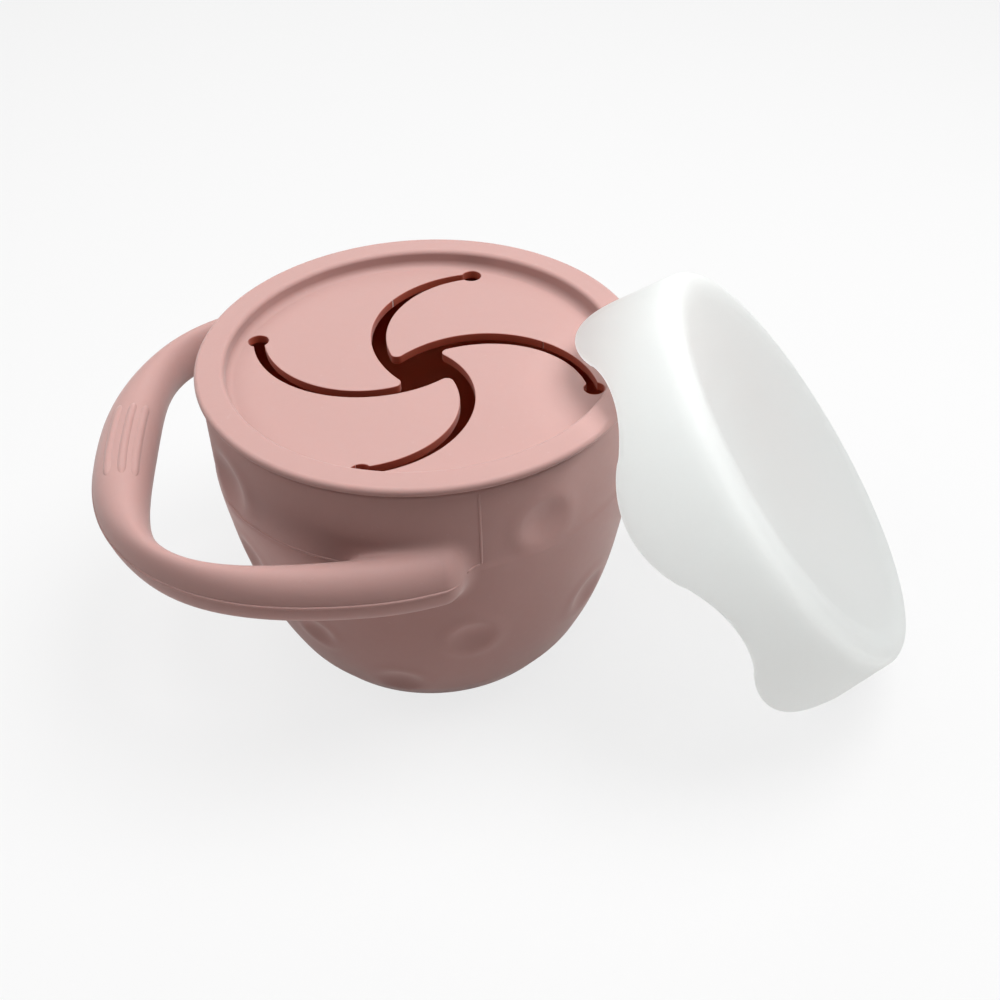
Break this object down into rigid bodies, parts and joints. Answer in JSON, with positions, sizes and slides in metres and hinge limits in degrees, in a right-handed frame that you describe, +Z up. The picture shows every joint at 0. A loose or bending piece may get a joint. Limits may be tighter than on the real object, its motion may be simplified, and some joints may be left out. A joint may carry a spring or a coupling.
{
  "type": "snack container",
  "caption": "Soft round snack cup with a loop handle, a push-in lid slit into swirling petals, and a scalloped dust cover leaning on its rim.",
  "frame": {"origin": "centre of the cup's base, on the surface it stands on", "axes": "+Z up along the cup's axis, -X towards the middle of the handle, +X towards the leaning dust cover"},
  "size_m": [0.181, 0.122, 0.09],
  "materials": {
    "cup_silicone": "matte",
    "lid_silicone": "matte",
    "cover_silicone": "matte"
  },
  "bodies": {
    "cup": {"cup_body": "cup_silicone", "handle": "cup_silicone"},
    "lid": {"lid_ring": "lid_silicone"},
    "flap_1": {"lid_flap_1": "lid_silicone"},
    "flap_2": {"lid_flap_2": "lid_silicone"},
    "flap_3": {"lid_flap_3": "lid_silicone"},
    "flap_4": {"lid_flap_4": "lid_silicone"},
    "cover": {"dust_cover": "cover_silicone"}
  },
  "joints": [
    {"name": "lid_lift", "type": "slide", "parent": "cup", "child": "lid", "axis": [0, 0, 1], "range_m": [0, 0.035]},
    {"name": "flap_1_bend", "type": "hinge", "parent": "lid", "child": "flap_1", "pos_m": [0.01096, -0.02461, 0.0702], "axis": [0.9135, 0.4067, 0], "range_deg": [-70, 25], "stiffness_Nm_per_rad": 0.02},
    {"name": "flap_2_bend", "type": "hinge", "parent": "lid", "child": "flap_2", "pos_m": [0.02461, 0.01096, 0.0702], "axis": [-0.4067, 0.9135, 0], "range_deg": [-70, 25], "stiffness_Nm_per_rad": 0.02},
    {"name": "flap_3_bend", "type": "hinge", "parent": "lid", "child": "flap_3", "pos_m": [-0.01096, 0.02461, 0.0702], "axis": [-0.9135, -0.4067, 0], "range_deg": [-70, 25], "stiffness_Nm_per_rad": 0.02},
    {"name": "flap_4_bend", "type": "hinge", "parent": "lid", "child": "flap_4", "pos_m": [-0.02461, -0.01096, 0.0702], "axis": [0.4067, -0.9135, 0], "range_deg": [-70, 25], "stiffness_Nm_per_rad": 0.02},
    {"name": "cover_slide", "type": "slide", "parent": "lid", "child": "cover", "axis": [1, 0, 0], "range_m": [0, 0.06]}
  ]
}
